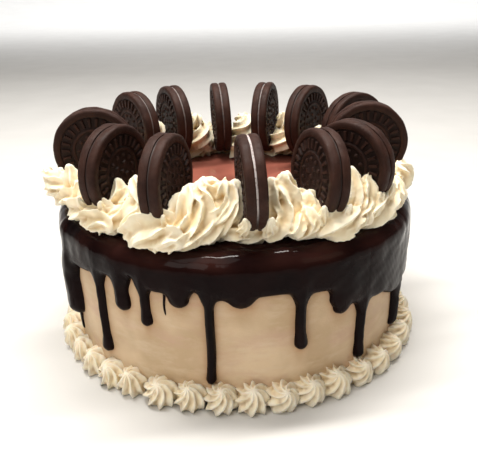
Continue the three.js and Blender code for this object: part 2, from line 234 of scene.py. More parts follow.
def bent_grid(bm, columns, rows, place):
    """Adds a grid to bm, bent by place(u, v), both 0 to 1, which gives a point for each pair."""
    made = bmesh.ops.create_grid(bm, x_segments=columns, y_segments=rows, size=0.5)["verts"]
    flat = points_of(made)
    move_to(made, place(flat[:, 0] + 0.5, flat[:, 1] + 0.5))
    return made


def face_outwards(bm):
    bmesh.ops.recalc_face_normals(bm, faces=bm.faces)


def weld(bm):
    bmesh.ops.remove_doubles(bm, verts=bm.verts, dist=WELD)
    face_outwards(bm)


def close_ends(bm):
    """Welds a bmesh and fills its open ends."""
    weld(bm)
    bmesh.ops.holes_fill(bm, edges=[edge for edge in bm.edges if edge.is_boundary], sides=0)
    face_outwards(bm)


def turned(profile, steps):
    """A bmesh turned about Z from an outline of (radius, height) pairs that starts and ends on it."""
    bm = bmesh.new()
    verts = [bm.verts.new((radius, 0, height)) for radius, height in profile]
    edges = [bm.edges.new(pair) for pair in zip(verts, verts[1:])]
    bmesh.ops.spin(bm, geom=verts + edges, axis=(0, 0, 1), cent=(0, 0, 0), dvec=(0, 0, 0),
                   angle=2 * math.pi, steps=steps, use_merge=True, use_duplicate=False)
    weld(bm)
    return bm


def mesh_from(name, bm):
    mesh = bpy.data.meshes.new(name)
    bm.to_mesh(mesh)
    bm.free()
    return mesh


def dress(mesh, material):
    mesh.polygons.foreach_set("use_smooth", [True] * len(mesh.polygons))
    mesh.materials.clear()
    mesh.materials.append(material)


def add_piece(name, mesh, material, slot, *replaced):
    """A finished piece from a mesh in millimetres: it rides on the cake and stands for its nodes."""
    mesh.name = name
    mesh.transform(Matrix.Scale(MM, 4))
    dress(mesh, material)
    piece = put_object(name, mesh)
    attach(piece, "root")
    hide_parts(*replaced)
    return piece


def add_attribute(mesh, name, values):
    attribute = mesh.attributes.new(name, "FLOAT", "POINT")
    attribute.data.foreach_set("value", np.ascontiguousarray(values, dtype=np.float32))


def edge_ends(mesh):
    """The two vertices of every edge, as two arrays."""
    pairs = np.empty(len(mesh.edges) * 2, dtype=np.int64)
    mesh.edges.foreach_get("vertices", pairs)
    return pairs.reshape(-1, 2).T


def neighbour_mean(mesh, values, rounds):
    """Each vertex value averaged with its neighbours, again and again."""
    first, second = edge_ends(mesh)
    count = np.bincount(np.append(first, second), minlength=len(values))
    count = np.maximum(count, 1).astype(float)
    for _ in range(rounds):
        total = np.zeros_like(values)
        for axis in range(values.shape[1]):
            total[:, axis] += np.bincount(first, values[second, axis], len(values))
            total[:, axis] += np.bincount(second, values[first, axis], len(values))
        values = total / count[:, None]
    return values


def vertex_normals(mesh):
    flat = np.empty(len(mesh.vertices) * 3)
    mesh.vertex_normals.foreach_get("vector", flat)
    return flat.reshape(-1, 3)


def paint_fold_shade_and_crest_light(mesh, rounds, depth):
    """Writes two attributes: up to 1 deep in the folds for painted shade, up to 1 on crests for a painted
    highlight.
    """
    points = coordinates(mesh)
    smooth = neighbour_mean(mesh, points, rounds)
    sunk = np.einsum("ij,ij->i", smooth - points, vertex_normals(mesh)) / depth
    add_attribute(mesh, "painted_fold_shade", np.clip(sunk, 0, 1))
    add_attribute(mesh, "painted_crest_light", np.clip(-sunk, 0, 1))


# ---------------------------------------------------------------- material helpers

class Finish:
    """A node material: a Principled shader with short calls to build what feeds it."""

    def __init__(self, name, roughness, **constants):
        self.material = bpy.data.materials.new(name)
        self.material.use_nodes = True
        self.tree = self.material.node_tree
        self.shader = self.tree.nodes["Principled BSDF"]
        self.shader.inputs["Roughness"].default_value = roughness
        for socket, value in constants.items():
            self.shader.inputs[socket.replace("_", " ")].default_value = value
        self.place = self.add("TexCoord", "Object")

    def feed(self, socket, value):
        """Gives a socket a node's output, a colour or a number."""
        if isinstance(value, bpy.types.NodeSocket):
            self.tree.links.new(value, socket)
        elif socket.type == "RGBA":
            socket.default_value = (*value, 1)
        else:
            socket.default_value = value

    def add(self, kind, output, **inputs):
        """Adds a node, feeds its inputs and gives one of its outputs."""
        node = self.tree.nodes.new("ShaderNode" + kind)
        for socket, value in inputs.items():
            self.feed(node.inputs[socket.replace("_", " ")], value)
        return node.outputs[output]

    def stretched(self, stretch):
        return self.add("Mapping", "Vector", Vector=self.place, Scale=stretch)

    def noise(self, size, detail=3.0, roughness=0.55, place=None):
        """Noise with features of about that size in millimetres."""
        return self.add("TexNoise", "Fac", Vector=place or self.place, Scale=1 / (size * MM),
                        Detail=detail, Roughness=roughness)

    def attribute(self, name):
        fac = self.add("Attribute", "Fac")
        fac.node.attribute_name = name
        return fac

    def spread(self, value, low, high, start=0.0, end=1.0):
        """Maps low..high of a value to start..end, and no further."""
        return self.add("MapRange", "Result", Value=value, From_Min=low, From_Max=high,
                        To_Min=start, To_Max=end)

    def math(self, operation, first, second):
        node = self.tree.nodes.new("ShaderNodeMath")
        node.operation = operation
        for socket, value in zip(node.inputs, (first, second)):
            self.feed(socket, value)
        return node.outputs["Value"]

    def mix(self, share, first, second):
        """A colour between two, each a tuple or a node's output."""
        node = self.tree.nodes.new("ShaderNodeMix")
        node.data_type = "RGBA"
        sockets = [node.inputs["Factor"], *(s for s in node.inputs if s.type == "RGBA")]
        for socket, value in zip(sockets, (share, first, second)):
            self.feed(socket, value)
        return next(s for s in node.outputs if s.type == "RGBA")

    def bump(self, height, depth, strength, under=None):
        """Relief of that depth in millimetres, over another bump if one is given."""
        below = {"Normal": under} if under else {}
        return self.add("Bump", "Normal", Strength=strength, Distance=depth * MM, Height=height, **below)

    def color(self, source):
        self.feed(self.shader.inputs["Base Color"], source)

    def roughness(self, source):
        self.feed(self.shader.inputs["Roughness"], source)

    def normal(self, source):
        self.feed(self.shader.inputs["Normal"], source)


# ---------------------------------------------------------------- materials

def piped(name, scatter, reach, patch, tones, fold_shade, crest_light, grain, relief):
    """Cream from a bag: patchy, painted browner in its folds as shade and paler on its ridges as
    highlight.

    scatter and reach are the light inside it, patch and grain the sizes of its patches and its
    fine relief.
    """
    made = Finish(name, 0.5, Subsurface_Weight=scatter, Subsurface_Scale=reach,
                  Subsurface_Radius=(1.0, 0.7, 0.4), IOR=1.4)
    body = made.mix(made.spread(made.noise(patch), 0.35, 0.65), *tones)
    # Painted shade in the folds, then a painted highlight on the crests.
    body = made.mix(made.math("MULTIPLY", made.attribute("painted_fold_shade"), 0.95), body, fold_shade)
    made.color(made.mix(made.math("MULTIPLY", made.attribute("painted_crest_light"), 0.6), body, crest_light))
    made.normal(made.bump(made.noise(grain, 4), 0.12, relief))
    return made.material


def whipped_cream():
    tones = ((0.87, 0.745, 0.505), (0.94, 0.85, 0.655))
    # The fold colour is painted shade in the folds; the crest colour is a painted highlight on the
    # crests.
    return piped("whipped_cream", 0.1, 0.003, 9, tones, fold_shade=(0.60, 0.40, 0.17),
                 crest_light=(0.97, 0.91, 0.77), grain=0.9, relief=0.5)


def piped_buttercream():
    tones = ((0.84, 0.71, 0.48), (0.90, 0.79, 0.59))
    # The fold colour is painted shade in the folds; the crest colour is a painted highlight on the
    # crests.
    return piped("piped_buttercream", 0.15, 0.002, 7, tones, fold_shade=(0.42, 0.26, 0.12),
                 crest_light=(0.96, 0.91, 0.79), grain=0.7, relief=0.6)


def smoothed_buttercream():
    """The wall: spread with a knife in long level strokes, with painted shade in brown under the
    chocolate above.
    """
    made = Finish("smoothed_buttercream", 0.62, Subsurface_Weight=0.08, Subsurface_Scale=0.002,
                  Subsurface_Radius=(1.0, 0.6, 0.35))
    strokes = made.noise(5, 4, 0.6, made.stretched((0.35, 0.35, 1.0)))
    patches = made.noise(24, 3, 0.55)
    rosy = made.noise(15, 4, 0.6, made.stretched((0.6, 0.6, 1.4)))
    body = made.mix(made.spread(patches, 0.38, 0.62), (0.55, 0.395, 0.235), (0.70, 0.53, 0.345))
    body = made.mix(made.spread(rosy, 0.50, 0.66, 0, 0.55), body, (0.58, 0.37, 0.27))
    body = made.mix(made.spread(strokes, 0.5, 0.70, 0, 0.5), body, (0.72, 0.58, 0.41))
    # Painted shade under the glaze's edge and below each drip tip, in a chocolate brown.
    painted_shade_under_glaze = made.math("MULTIPLY", made.attribute("painted_shade_under_glaze"), made.spread(made.noise(6), 0.3, 0.7, 0.5, 1))
    made.color(made.mix(painted_shade_under_glaze, body, (0.40, 0.18, 0.06)))
    made.roughness(made.spread(strokes, 0.3, 0.7, 0.5, 0.7))
    coarse = made.bump(strokes, 0.6, 0.7)
    made.normal(made.bump(made.noise(0.8, 4), 0.15, 0.5, coarse))
    return made.material


def dark_ganache():
    """Poured chocolate: near black down the wall, painted redder as a reflection where it lies on top,
    glossy in runs.
    """
    made = Finish("dark_ganache", 0.12, IOR=1.45, Specular_IOR_Level=0.07)
    patches = made.spread(made.noise(18, 3), 0.35, 0.7)
    body = made.mix(patches, (0.0042, 0.0014, 0.0017), (0.0092, 0.0032, 0.0031))
    # Painted reflection: reddish brown on the shoulder and the top.
    made.color(made.mix(made.attribute("painted_reflection"), body, (0.255, 0.084, 0.060)))
    runs = made.noise(3.5, 3, 0.5, made.stretched((1.0, 1.0, 0.12)))
    gloss = made.spread(runs, 0.35, 0.7, 0.03, 0.09)
    made.roughness(made.math("ADD", gloss, made.math("MULTIPLY", made.attribute("dull"), 0.24)))
    uneven = made.bump(made.noise(5, 3), 0.4, 0.22)
    made.normal(made.bump(runs, 0.25, 0.12, uneven))
    return made.material


def baked_cocoa():
    """Dark baked wafers, browner on the rims and the moulded relief as painted highlight, the rims also
    by wear; pale crumbs and pits.
    """
    made = Finish("baked_cocoa", 0.55, IOR=1.45, Specular_IOR_Level=0.18)
    patches = made.spread(made.noise(6, 4), 0.35, 0.7)
    body = made.mix(patches, (0.013, 0.0062, 0.0052), (0.021, 0.0100, 0.0080))
    # Browner on the rims, partly wear and partly painted highlight, and on the relief, painted highlight
    # alone.
    rim = made.mix(patches, (0.024, 0.0088, 0.0060), (0.045, 0.0175, 0.0116))
    worn_and_lit = made.mix(made.attribute("rim"), body, rim)
    crumbs = made.spread(made.noise(0.55, 5, 0.7), 0.55, 0.75, 0, 0.5)
    made.color(made.mix(crumbs, worn_and_lit, (0.075, 0.038, 0.026)))
    made.roughness(made.spread(made.noise(2.2, 4), 0.3, 0.7, 0.42, 0.68))
    pits = made.bump(made.noise(0.6, 5, 0.7), 0.25, 0.8)
    made.normal(made.bump(made.noise(2.5, 3), 0.3, 0.5, pits))
    return made.material


def vanilla_filling():
    """Filling seen in the seam between two wafers: pale with crumbs in a few biscuits, painted near black
    as the seam's shade in most and low in every seam.
    """
    made = Finish("vanilla_filling", 0.6, Subsurface_Weight=0.1, Subsurface_Scale=0.002)
    unshaded_filling = made.mix(made.spread(made.noise(3, 4), 0.35, 0.7), (0.40, 0.34, 0.33), (0.56, 0.50, 0.49))
    crumbs = made.spread(made.noise(0.8, 4), 0.56, 0.68)
    unshaded_filling = made.mix(crumbs, unshaded_filling, (0.10, 0.05, 0.04))
    # Painted shade: the near black stands for the seam's shade over the pale filling.
    made.color(made.mix(made.attribute("unshaded_filling"), (0.022, 0.0105, 0.0080), unshaded_filling))
    made.normal(made.bump(made.noise(0.7, 4), 0.15, 0.6))
    return made.material


def pale_table():
    made = Finish("pale_table", 0.8, Specular_IOR_Level=0.2)
    patches = made.spread(made.noise(60, 2), 0.3, 0.7)
    made.color(made.mix(patches, (0.61, 0.605, 0.595), (0.64, 0.635, 0.625)))
    return made.material


# ---------------------------------------------------------------- table

# In metres: half its width, how far out it starts to rise, and how fast it bends up from there.
TABLE = {"half": 8.0, "rise_from": 2.5, "steps": 48, "bend": 0.35}


def lay_table():
    """A pale table that sweeps up into a backdrop on all sides, far from the cake."""
    bm = bmesh.new()
    bmesh.ops.create_grid(bm, x_segments=TABLE["steps"], y_segments=TABLE["steps"], size=TABLE["half"])
    for vert in bm.verts:
        far = max(math.hypot(vert.co.x, vert.co.y) - TABLE["rise_from"], 0)
        vert.co.z = TABLE["bend"] * far * far / 2
    mesh = mesh_from("table", bm)
    dress(mesh, pale_table())
    table = put_object("table", mesh)


# ---------------------------------------------------------------- glaze

def wall_radius(height):
    return WALL["base"] + (WALL["top"] - WALL["base"]) * height / WALL["height"]


def skirt_edge(azimuth):
    """Height of the skirt's lower edge, eased from one arch to the next."""
    angle = np.asarray(azimuth, float) % 360
    after = np.searchsorted(SKIRT_EDGE[:, 0], angle, side="right") % len(SKIRT_EDGE)
    before = after - 1
    span = (SKIRT_EDGE[after, 0] - SKIRT_EDGE[before, 0]) % 360
    along = ((angle - SKIRT_EDGE[before, 0]) % 360) / span
    eased = (1 - np.cos(math.pi * along)) / 2
    return SKIRT_EDGE[before, 1] + (SKIRT_EDGE[after, 1] - SKIRT_EDGE[before, 1]) * eased


# How far the skirt stands off the wall, and how wide its rounded edge is.
BAND_STAND = 3.5
BAND_ROUND = 3.4

# A drip, in millimetres: its neck's share of the width in the table, how far up the neck reaches
# from the bulge, how it widens at its root, how it wanders sideways, its widest rounded edge.
DRIP_NECK = 0.88
DRIP_NECK_LENGTH = 2.2
DRIP_FLARE = {"width": 2.6, "height": 7, "above": 2}
DRIP_WANDER = {"width": 0.35, "rate": 0.16}
DRIP_ROUND = 4.5

# The raised middle of a drip carries on up the skirt: its share of the drip's thickness, and how far.
STREAK = {"rise": 0.22, "reach": 22, "from_edge": (1.0, 5.0)}

# Skirt and drips run into each other over this distance. Their thicknesses blend by weights that
# grow with the depth inside each, within limits.
DRIP_BLEND = 2.6
WEIGHT_LENGTH = 1.5
WEIGHT_LIMITS = (-20, 6)
DRIP_REACH = 12
FAR_OUTSIDE = -50.0


def inside_skirt(azimuth, height):
    """How far a point of the wall lies within the skirt, negative below its edge."""
    step = 0.5
    slope = (skirt_edge(azimuth + step) - skirt_edge(azimuth - step)) / (2 * step * ARC)
    return (height - skirt_edge(azimuth)) / np.sqrt(1 + slope * slope)


def inside_drip(azimuth, height, drip):
    """How far a point of the wall lies within a drip, negative outside it."""
    place, half, tip, _, bulge = drip
    root = float(skirt_edge(place))
    tip_half = half * bulge
    low = tip + tip_half
    wander = DRIP_WANDER["width"] * np.sin(height * DRIP_WANDER["rate"] + place)
    across = np.abs(along_wall(azimuth, place) + wander * smoothstep(root, low, height))
    widening = smoothstep(low + DRIP_NECK_LENGTH * tip_half, low, height)
    neck = half * (DRIP_NECK + (bulge - DRIP_NECK) * widening)
    flare_low = root - min(DRIP_FLARE["height"], (root - tip) / 2)
    flare = min(DRIP_FLARE["width"], half) * smoothstep(flare_low, root + DRIP_FLARE["above"], height)
    return np.where(height > low, neck + flare - across, tip_half - np.hypot(across, height - low))


def smooth_max(first, second, reach):
    gap = np.clip(reach - np.abs(first - second), 0, None)
    return np.maximum(first, second) + gap * gap / (4 * reach)


def weight_at(depth):
    return np.exp(np.clip(depth, *WEIGHT_LIMITS) / WEIGHT_LENGTH)


def glaze_cover(azimuth, height):
    """(depth within the outline, thickness) of the glaze at points of the wall."""
    depth = inside_skirt(azimuth, height)
    weight = weight_at(depth)
    stand_total = weight * BAND_STAND
    round_total = weight * BAND_ROUND
    weight_total = weight.copy()
    streak = np.zeros_like(height)
    for drip in DRIPS:
        place, half, _, stand, _ = drip
        across = along_wall(azimuth, place)
        near = np.abs(across) < 3 * half + DRIP_REACH
        if not near.any():
            continue
        within = np.full_like(height, FAR_OUTSIDE)
        within[near] = inside_drip(azimuth[near], height[near], drip)
        depth = smooth_max(depth, within, DRIP_BLEND)
        weight = weight_at(within)
        stand_total += weight * stand
        round_total += weight * min(half, DRIP_ROUND)
        weight_total += weight
        fade = 1 - smoothstep(skirt_edge(place), skirt_edge(place) + STREAK["reach"], height)
        raised = np.exp(-((across / half) ** 2)) * fade * STREAK["rise"] * stand
        streak = np.maximum(streak, raised)
    stand = stand_total / weight_total
    rounding = round_total / weight_total
    share = np.clip(1 - depth / rounding, 0, 1)
    thickness = stand * np.sqrt(1 - share * share)
    return depth, thickness + streak * smoothstep(*STREAK["from_edge"], depth)


GLAZE_COLUMNS = 1056
TOP_ROWS = 10
SHOULDER_ROWS = 10
WALL_ROWS = 112
GLAZE_ROWS = TOP_ROWS + SHOULDER_ROWS + WALL_ROWS
GLAZE_LOWEST = 9.5
GLAZE_WAVES = [(0.17, 17, 3), (0.075, 6.5, 4), (0.02, 3, 5)]
TOP_SWELL = 1.3


def place_glaze(u, v):
    """The glaze as one sheet: u runs round the cake, v from the middle of the top down the wall."""
    azimuth = u * 360
    row = np.rint(v * GLAZE_ROWS).astype(int)
    start = GLAZE_TOP - SHOULDER
    outer = wall_radius(start) + glaze_cover(azimuth, np.full_like(azimuth, start))[1]
    flat = outer - SHOULDER
    radius = flat * row / TOP_ROWS
    height = np.full_like(radius, GLAZE_TOP)
    bend = (row - TOP_ROWS) / SHOULDER_ROWS
    turning = (bend > 0) & (bend <= 1)
    angle = (1 - bend) * math.pi / 2
    radius = np.where(turning, flat + SHOULDER * np.cos(angle), radius)
    height = np.where(turning, start + SHOULDER * np.sin(angle), height)
    down = (row - TOP_ROWS - SHOULDER_ROWS) / WALL_ROWS
    falling = down > 0
    height = np.where(falling, start + (GLAZE_LOWEST - start) * down, height)
    thickness = glaze_cover(azimuth, height)[1]
    radius = np.where(falling, wall_radius(height) + thickness, radius)
    points = polar(radius, azimuth, height)
    outward = polar(np.ones_like(azimuth), azimuth, np.zeros_like(azimuth))
    swell = waves(points, GLAZE_WAVES)
    top_share = np.where(falling, 0, 1 - smoothstep(flat, outer, radius))
    edge_share = np.where(falling, smoothstep(0.5, 6, thickness * 2), 1 - top_share)
    points += outward * (swell * edge_share)[:, None]
    points[:, 2] += swell * TOP_SWELL * top_share * smoothstep(0, 12, radius)
    return points


# The sheet's edge steps towards the outline by its slope, no further than "stride" a round, and is
# tucked this far into the wall.
TRIM = {"rounds": 5, "probe": 0.05, "stride": 0.8, "flattest": 0.15, "tuck": 0.12}


def trim_to_outline(bm):
    """Deletes the sheet outside the glaze's outline and moves its edge onto that outline."""
    bmesh.ops.remove_doubles(bm, verts=bm.verts, dist=WELD)
    bm.verts.index_update()
    points = points_of(bm.verts)
    on_wall = points[:, 2] < GLAZE_TOP - SHOULDER - 0.5
    depth = np.where(on_wall, glaze_cover(azimuth_of(points), points[:, 2])[0], 10.0)
    outside = [face for face in bm.faces if np.mean([depth[v.index] for v in face.verts]) < 0]
    bmesh.ops.delete(bm, geom=outside, context="FACES")
    rim = [vert for vert in bm.verts if vert.is_boundary]
    places = points_of(rim)
    angle = azimuth_of(places)
    height = places[:, 2].copy()
    probe, stride = TRIM["probe"], TRIM["stride"]
    for _ in range(TRIM["rounds"]):
        here = glaze_cover(angle, height)[0]
        along = (glaze_cover(angle + probe / ARC, height)[0] - here) / probe
        upward = (glaze_cover(angle, height + probe)[0] - here) / probe
        size = np.maximum(along * along + upward * upward, TRIM["flattest"])
        angle -= np.clip(here * along / size, -stride, stride) / ARC
        height -= np.clip(here * upward / size, -stride, stride)
    move_to(rim, polar(wall_radius(height) - TRIM["tuck"], angle, height))
    bmesh.ops.dissolve_degenerate(bm, edges=bm.edges, dist=0.02)
    loose = [vert for vert in bm.verts if not vert.link_faces]
    bmesh.ops.delete(bm, geom=loose, context="VERTS")
    face_outwards(bm)


def half_round_trickle(bm, azimuth, top, tip, wide, narrow):
    def place(u, v):
        rounded = np.sqrt(np.clip(1 - np.clip((v - 0.8) / 0.2, 0, 1) ** 2, 0, 1))
        half = (wide + (narrow - wide) * v ** 0.8) * rounded
        angle = (u - 0.5) * math.pi
        height = top + (tip - top) * v
        stand = wall_radius(height) - 0.15 + half * 0.9 * np.cos(angle)
        return polar(stand, azimuth + (half * np.sin(angle) + 0.25 * np.sin(v * 7)) / ARC, height)
    bent_grid(bm, 8, 24, place)


# The glaze is painted redder on top as a reflection, as (on the shoulder, in the middle), and in patches
# of it.
PAINTED_REFLECTION = (0.045, 0.85)
PAINTED_REFLECTION_PATCHES = (0.03, 0.18)


def pour_glaze():
    bm = bmesh.new()
    bent_grid(bm, GLAZE_COLUMNS, GLAZE_ROWS, place_glaze)
    trim_to_outline(bm)
    for trickle in TRICKLES:
        half_round_trickle(bm, *trickle)
    face_outwards(bm)
    piece = add_piece("poured_glaze", mesh_from("glaze", bm), dark_ganache(), "chocolate_glaze", "glaze")
    points = coordinates(piece.data) / MM
    radius = np.hypot(points[:, 0], points[:, 1])
    shoulder = smoothstep(66, 72, points[:, 2]) * smoothstep(80, 90, radius)
    middle = 1 - smoothstep(60, 80, radius)
    # Painted reflection, strongest in the middle of the top.
    painted_reflection = PAINTED_REFLECTION[0] * shoulder + PAINTED_REFLECTION[1] * middle
    painted_reflection += (PAINTED_REFLECTION_PATCHES[0] * shoulder + PAINTED_REFLECTION_PATCHES[1] * middle) * ripples(points, 22, 8)
    add_attribute(piece.data, "painted_reflection", np.clip(painted_reflection, 0, 1))
    add_attribute(piece.data, "dull", 1 - smoothstep(58, 68, points[:, 2]))


# ---------------------------------------------------------------- wall

WALL_COLUMNS = 360
WALL_ROWS_FINE = 64
WALL_WAVES = [(0.14, 40, 11), (0.05, 12, 12)]
WALL_INSET = 0.1

# The knife went round level, so the waves are this much shorter upwards than along the wall.
KNIFE = np.array([1, 1, 2.6])

# Painted shade in brown along the glaze's edge, as (strength, reach), and below each tip.
SHADE_BELOW_EDGE = [(0.55, 1.6), (0.22, 7.0)]
SHADE_BELOW_TIPS = {"strength": 0.9, "width": 1.1, "reach": 4.5}


def spread_wall():
    """The cake's wall with flat ends, uneven where the knife passed."""
    def place(u, v):
        azimuth = u * 360
        height = v * WALL["height"]
        edge = WALL["edge"]
        tuck = np.minimum(height, WALL["height"] - height)
        rounding = np.clip(1 - tuck / edge, 0, 1)
        radius = wall_radius(height) - edge * (1 - np.sqrt(1 - rounding * rounding))
        swell = waves(polar(radius, azimuth, height) * KNIFE, WALL_WAVES)
        return polar(radius + swell - WALL_INSET, azimuth, height)

    bm = bmesh.new()
    bent_grid(bm, WALL_COLUMNS, WALL_ROWS_FINE, place)
    close_ends(bm)
    mesh = mesh_from("wall", bm)
    piece = add_piece("buttercream_wall", mesh, smoothed_buttercream(), "buttercream", "cake")
    points = coordinates(piece.data) / MM
    add_attribute(piece.data, "painted_shade_under_glaze", shade_under_glaze_of(azimuth_of(points), points[:, 2]))


def shade_under_glaze_of(azimuth, height):
    """Painted shade in brown on the cream: close under the glaze and below each tip."""
    depth = np.clip(glaze_cover(azimuth, height)[0], None, 0)
    total = sum(strength * np.exp(depth / reach) for strength, reach in SHADE_BELOW_EDGE)
    for place, half, tip, _, _ in DRIPS:
        across = along_wall(azimuth, place) / (half * SHADE_BELOW_TIPS["width"])
        below = np.clip(tip - height, 0, None) / SHADE_BELOW_TIPS["reach"]
        streak = np.exp(-(across ** 2)) * np.exp(-below) * (height < tip + half)
        total = np.maximum(total, streak * SHADE_BELOW_TIPS["strength"])
    return np.clip(total, 0, 1)


# ---------------------------------------------------------------- border of piped stars

# Sizes of a star, how far out its foot stands and how far it tips outwards, in degrees.
STARS = {"count": 40, "ring": 88.2, "foot": 3.4, "radius": 8.7, "height": 10.8, "tilt": 38}
STAR_LOBES = 9
STAR_GROOVES = (0.24, 0.38)
STAR_ROUGHNESS = 0.20

# Where up its height a star is widest, its foot's share of that width, and how blunt it ends.
STAR_WIDEST = 0.25
STAR_FOOT = 0.86
STAR_BLUNT = 0.72

# Folds and crests, for painted shade and painted highlight, are found by this many rounds of
# smoothing, and count as deep at this depth in metres.
STAR_FOLD_SHADE = (6, 0.5 * MM)
CREAM_FOLD_SHADE = (40, 1.1 * MM)

# Sharpness of the ridges that a star nozzle leaves.
LOBE_SHARP = 0.9


def lobed(angle, lobes, depth):
    return 1 - depth * np.abs(np.sin(angle * lobes / 2)) ** LOBE_SHARP


def star_profile(v):
    """Radius of a piped star from its foot to its tip, as a share."""
    below = STAR_FOOT + (1 - STAR_FOOT) * np.sin(v / STAR_WIDEST * math.pi / 2)
    above = np.clip((v - STAR_WIDEST) / (1 - STAR_WIDEST), 0, 1)
    return np.where(v < STAR_WIDEST, below, np.cos(above * math.pi / 2) ** STAR_BLUNT)


def pipe_star(bm, index):
    draw = np.random.RandomState(500 + index)
    size = 1 + draw.uniform(-0.07, 0.07)
    tall = 1 + draw.uniform(-0.1, 0.12)
    twist = draw.uniform(35, 95)
    spin = draw.uniform(0, 360)
    tilt = STARS["tilt"] + draw.uniform(-6, 6)
    sway = draw.uniform(-6, 6)
    place = (index + 0.5) * 360 / STARS["count"] + draw.uniform(-0.8, 0.8)
    lobes = STAR_LOBES + draw.randint(-1, 1)
    offcentre = draw.uniform(-0.1, 0.1, 2)
    low, high = STAR_GROOVES

    def shape(u, v):
        angle = u * 2 * math.pi
        depth = low + (high - low) * smoothstep(0.0, 0.8, v)
        radius = STARS["radius"] * size * star_profile(v) * lobed(angle, lobes, depth)
        turn = angle + np.radians(spin + twist * v * v)
        height = STARS["height"] * tall * (v ** 0.85 * 1.2 - 0.2)
        lean = np.clip(height, 0, None) ** 2 / STARS["height"]
        return np.stack([radius * np.cos(turn) + offcentre[0] * lean,
                         radius * np.sin(turn) + offcentre[1] * lean, height], axis=-1)

    made = bent_grid(bm, lobes * 8, 14, shape)
    foot = Matrix.Translation((STARS["ring"], 0, STARS["foot"]))
    move = rotation("Z", place) @ foot @ rotation("Y", tilt) @ rotation("X", sway)
    bmesh.ops.transform(bm, matrix=move, verts=made)


def pipe_border():
    bm = bmesh.new()
    for index in range(STARS["count"]):
        pipe_star(bm, index)
    weld(bm)
    swell = STAR_ROUGHNESS * ripples(points_of(bm.verts), 3.6, 61)
    for vert, share in zip(bm.verts, swell):
        vert.co += vert.normal * float(share)
        vert.co.z = max(vert.co.z, 0.05)
    mesh = mesh_from("border", bm)
    piece = add_piece("piped_star_border", mesh, piped_buttercream(), "piped_border", "star_border")
    paint_fold_shade_and_crest_light(piece.data, *STAR_FOLD_SHADE)


# ---------------------------------------------------------------- biscuits

# Radius and height of a wafer's outline from the middle of its inner face, with a lip that closes
# on the other wafer, to the middle of its moulded face.
WAFER_PROFILE = [
    (0, 0), (18.9, 0), (19.5, -0.6), (20.0, -1.06), (20.4, -1.0), (20.68, -0.4), (20.78, 0.6),
    (20.7, 1.9), (20.4, 2.7), (19.8, 3.12), (18.8, 3.2), (17.6, 3.15), (17.1, 2.9), (16.9, 2.35),
    (11.2, 2.35), (10.9, 2.8), (10.4, 2.95), (9.8, 2.8), (9.5, 2.35), (0, 2.35),
]
WAFER_SIDES = 72
WAFER_SHARP = math.radians(40)
WAFER_WOBBLE = 0.12
FIELD_LEVEL = 2.35
BARS = {"count": 26, "inner": 12.0, "outer": 16.4, "width": 1.75, "rise": 1.15}
BEADS = {"count": 11, "ring": 7.6, "radius": 1.15}
LOZENGES = {"pitch": 3.9, "radius": 1.75, "rise": 1.0, "reach": 5.0}


def wafer_template():
    """One wafer, flat inner face at z 0 and moulded face up: a border, bars, beads and lozenges."""
    bm = turned(WAFER_PROFILE, WAFER_SIDES)
    length = BARS["outer"] - BARS["inner"]
    middle = (BARS["inner"] + BARS["outer"]) / 2
    spot = Matrix.Translation((middle, 0, FIELD_LEVEL + BARS["rise"] * 0.4))
    for index in range(BARS["count"]):
        bar = bmesh.ops.create_cube(bm, size=1)["verts"]
        for vert in bar:
            narrow = 0.7 if vert.co.z > 0 else 1.0
            inner = 0.8 if vert.co.x < 0 else 1.0
            vert.co.y *= BARS["width"] * narrow * inner
            vert.co.x *= length * (0.86 if vert.co.z > 0 else 1.0)
            vert.co.z *= BARS["rise"]
        turn = Matrix.Rotation(2 * math.pi * index / BARS["count"], 4, "Z")
        bmesh.ops.transform(bm, matrix=turn @ spot, verts=bar)
    for index in range(BEADS["count"]):
        turn = Matrix.Rotation(2 * math.pi * (index + 0.5) / BEADS["count"], 4, "Z")
        spot = turn @ Matrix.Translation((BEADS["ring"], 0, FIELD_LEVEL))
        bmesh.ops.create_icosphere(bm, subdivisions=1, radius=BEADS["radius"], matrix=spot)
    reach = int(LOZENGES["reach"] / LOZENGES["pitch"]) + 1
    for row in range(-reach, reach + 1):
        for column in range(-reach, reach + 1):
            x, y = column * LOZENGES["pitch"], row * LOZENGES["pitch"]
            if math.hypot(x, y) > LOZENGES["reach"] - LOZENGES["radius"] * 0.4:
                continue
            spot = Matrix.Translation((x, y, FIELD_LEVEL + LOZENGES["rise"] * 0.3))
            bmesh.ops.create_cone(bm, cap_ends=True, cap_tris=False, segments=4,
                                  radius1=LOZENGES["radius"], radius2=LOZENGES["radius"] * 0.45,
                                  depth=LOZENGES["rise"], matrix=spot)
    return bm


# How much of the filling shows pale in each biscuit's seam, the rest painted dark as shade, and how far
# below the rim it lies.
UNSHADED_FILLING = {1: (1.0, 0.35), 7: (0.30, 0.6), 8: (0.28, 0.6), 9: (0.40, 0.6), 10: (0.28, 0.6)}
SHADED_FILLING = (0.0, 0.75)


def filling_template(sunk):
    half = BISCUIT["filling"] / 2 + 0.1
    outer = BISCUIT["radius"] - sunk
    inner = BISCUIT["radius"] - 2.0
    profile = [(0, -half), (inner, -half), (inner + 0.5, -0.9), (outer - 0.15, -0.5), (outer, 0),
               (outer - 0.15, 0.5), (inner + 0.5, 0.9), (inner, half), (0, half)]
    return turned(profile, WAFER_SIDES)


def biscuit_place(entry):
    """Where a biscuit stands: local X outwards, Y along the ring, Z up."""
    azimuth, out, lift, turn, lean = entry
    ring = BISCUIT["ring"] + out
    angle = math.radians(azimuth)
    height = GLAZE_TOP + BISCUIT["stand"] + BISCUIT["radius"] + lift
    middle = Matrix.Translation((ring * math.cos(angle), ring * math.sin(angle), height))
    return middle @ rotation("Z", azimuth + turn) @ rotation("X", -lean)


